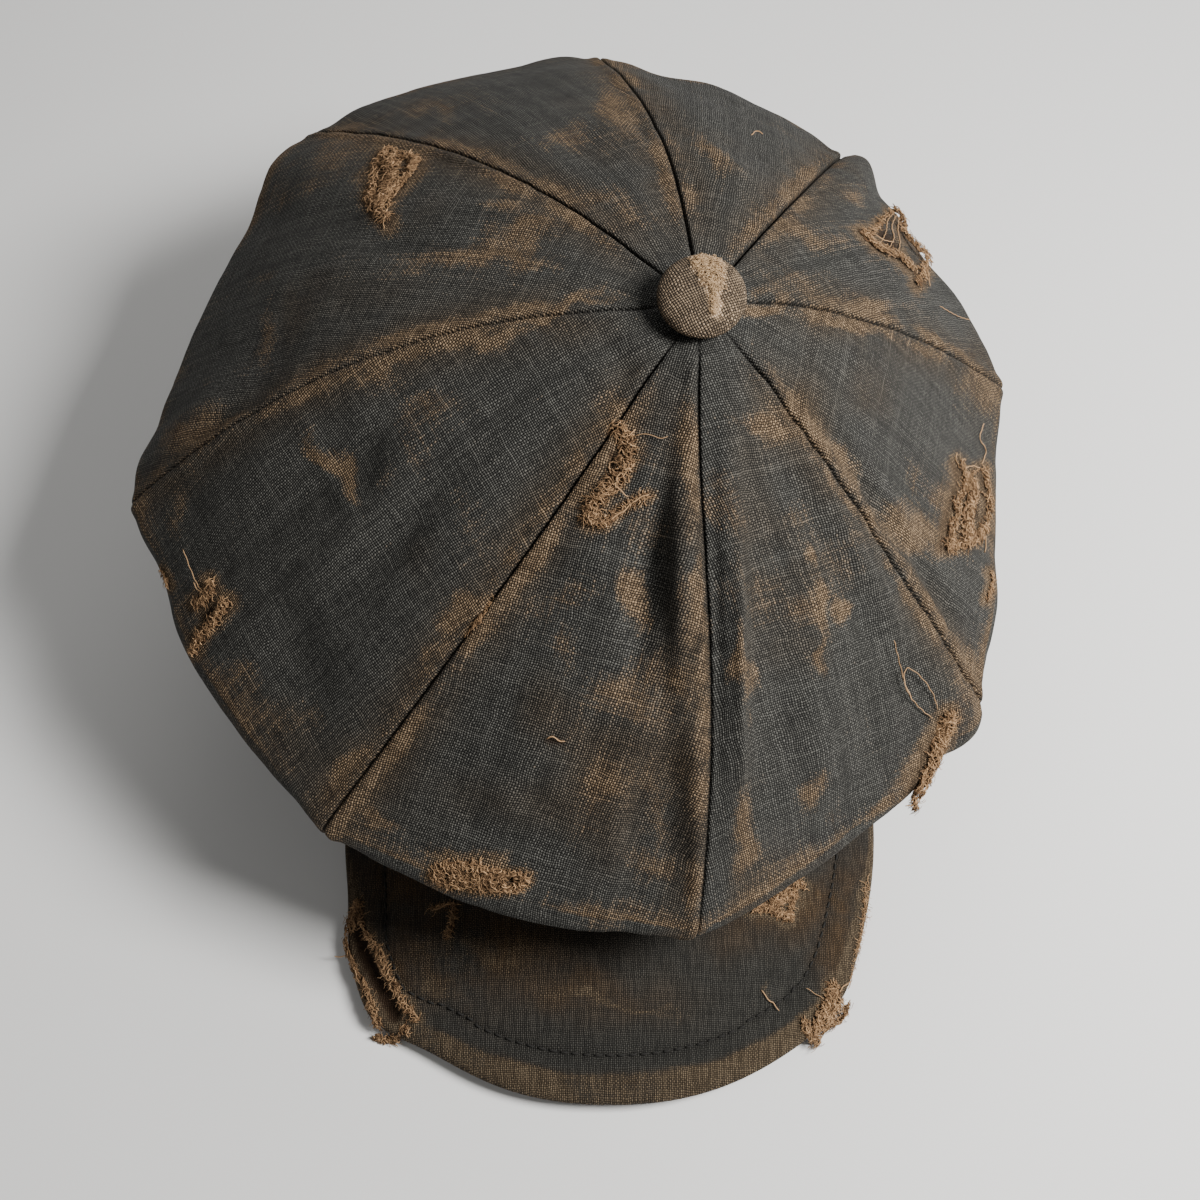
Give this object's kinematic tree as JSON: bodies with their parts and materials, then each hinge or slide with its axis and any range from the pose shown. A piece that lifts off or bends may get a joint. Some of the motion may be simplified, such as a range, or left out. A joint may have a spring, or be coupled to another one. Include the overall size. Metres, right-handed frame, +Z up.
{
  "type": "eight-panel newsboy cap",
  "caption": "Soft full-crowned newsboy cap in worn linen panels that meet under a covered top button, with a band and a short rounded front peak, hollow for the head.",
  "frame": {"origin": "middle of the cap's outline, on the surface that it rests on", "axes": "+Z up out of the crown, +Y towards the back of the cap, so the peak points to -Y, +X towards the wearer's left"},
  "size_m": [0.2704, 0.3318, 0.1502],
  "materials": {
    "crown_linen": "coarse plain-weave linen, waxed charcoal with brown wear along seams and folds",
    "band_linen": "coarse plain-weave linen, waxed charcoal, worn brown along its lower edge",
    "peak_linen": "linen over board, topstitched, worn light brown at its edge",
    "button_linen": "linen-covered button, worn brown"
  },
  "bodies": {
    "root": {"panel_front_left": "crown_linen", "panel_left_front": "crown_linen", "panel_left_back": "crown_linen", "panel_back_left": "crown_linen", "panel_back_right": "crown_linen", "panel_right_back": "crown_linen", "panel_right_front": "crown_linen", "panel_front_right": "crown_linen", "band": "band_linen", "peak": "peak_linen", "button": "button_linen"}
  },
  "joints": []
}
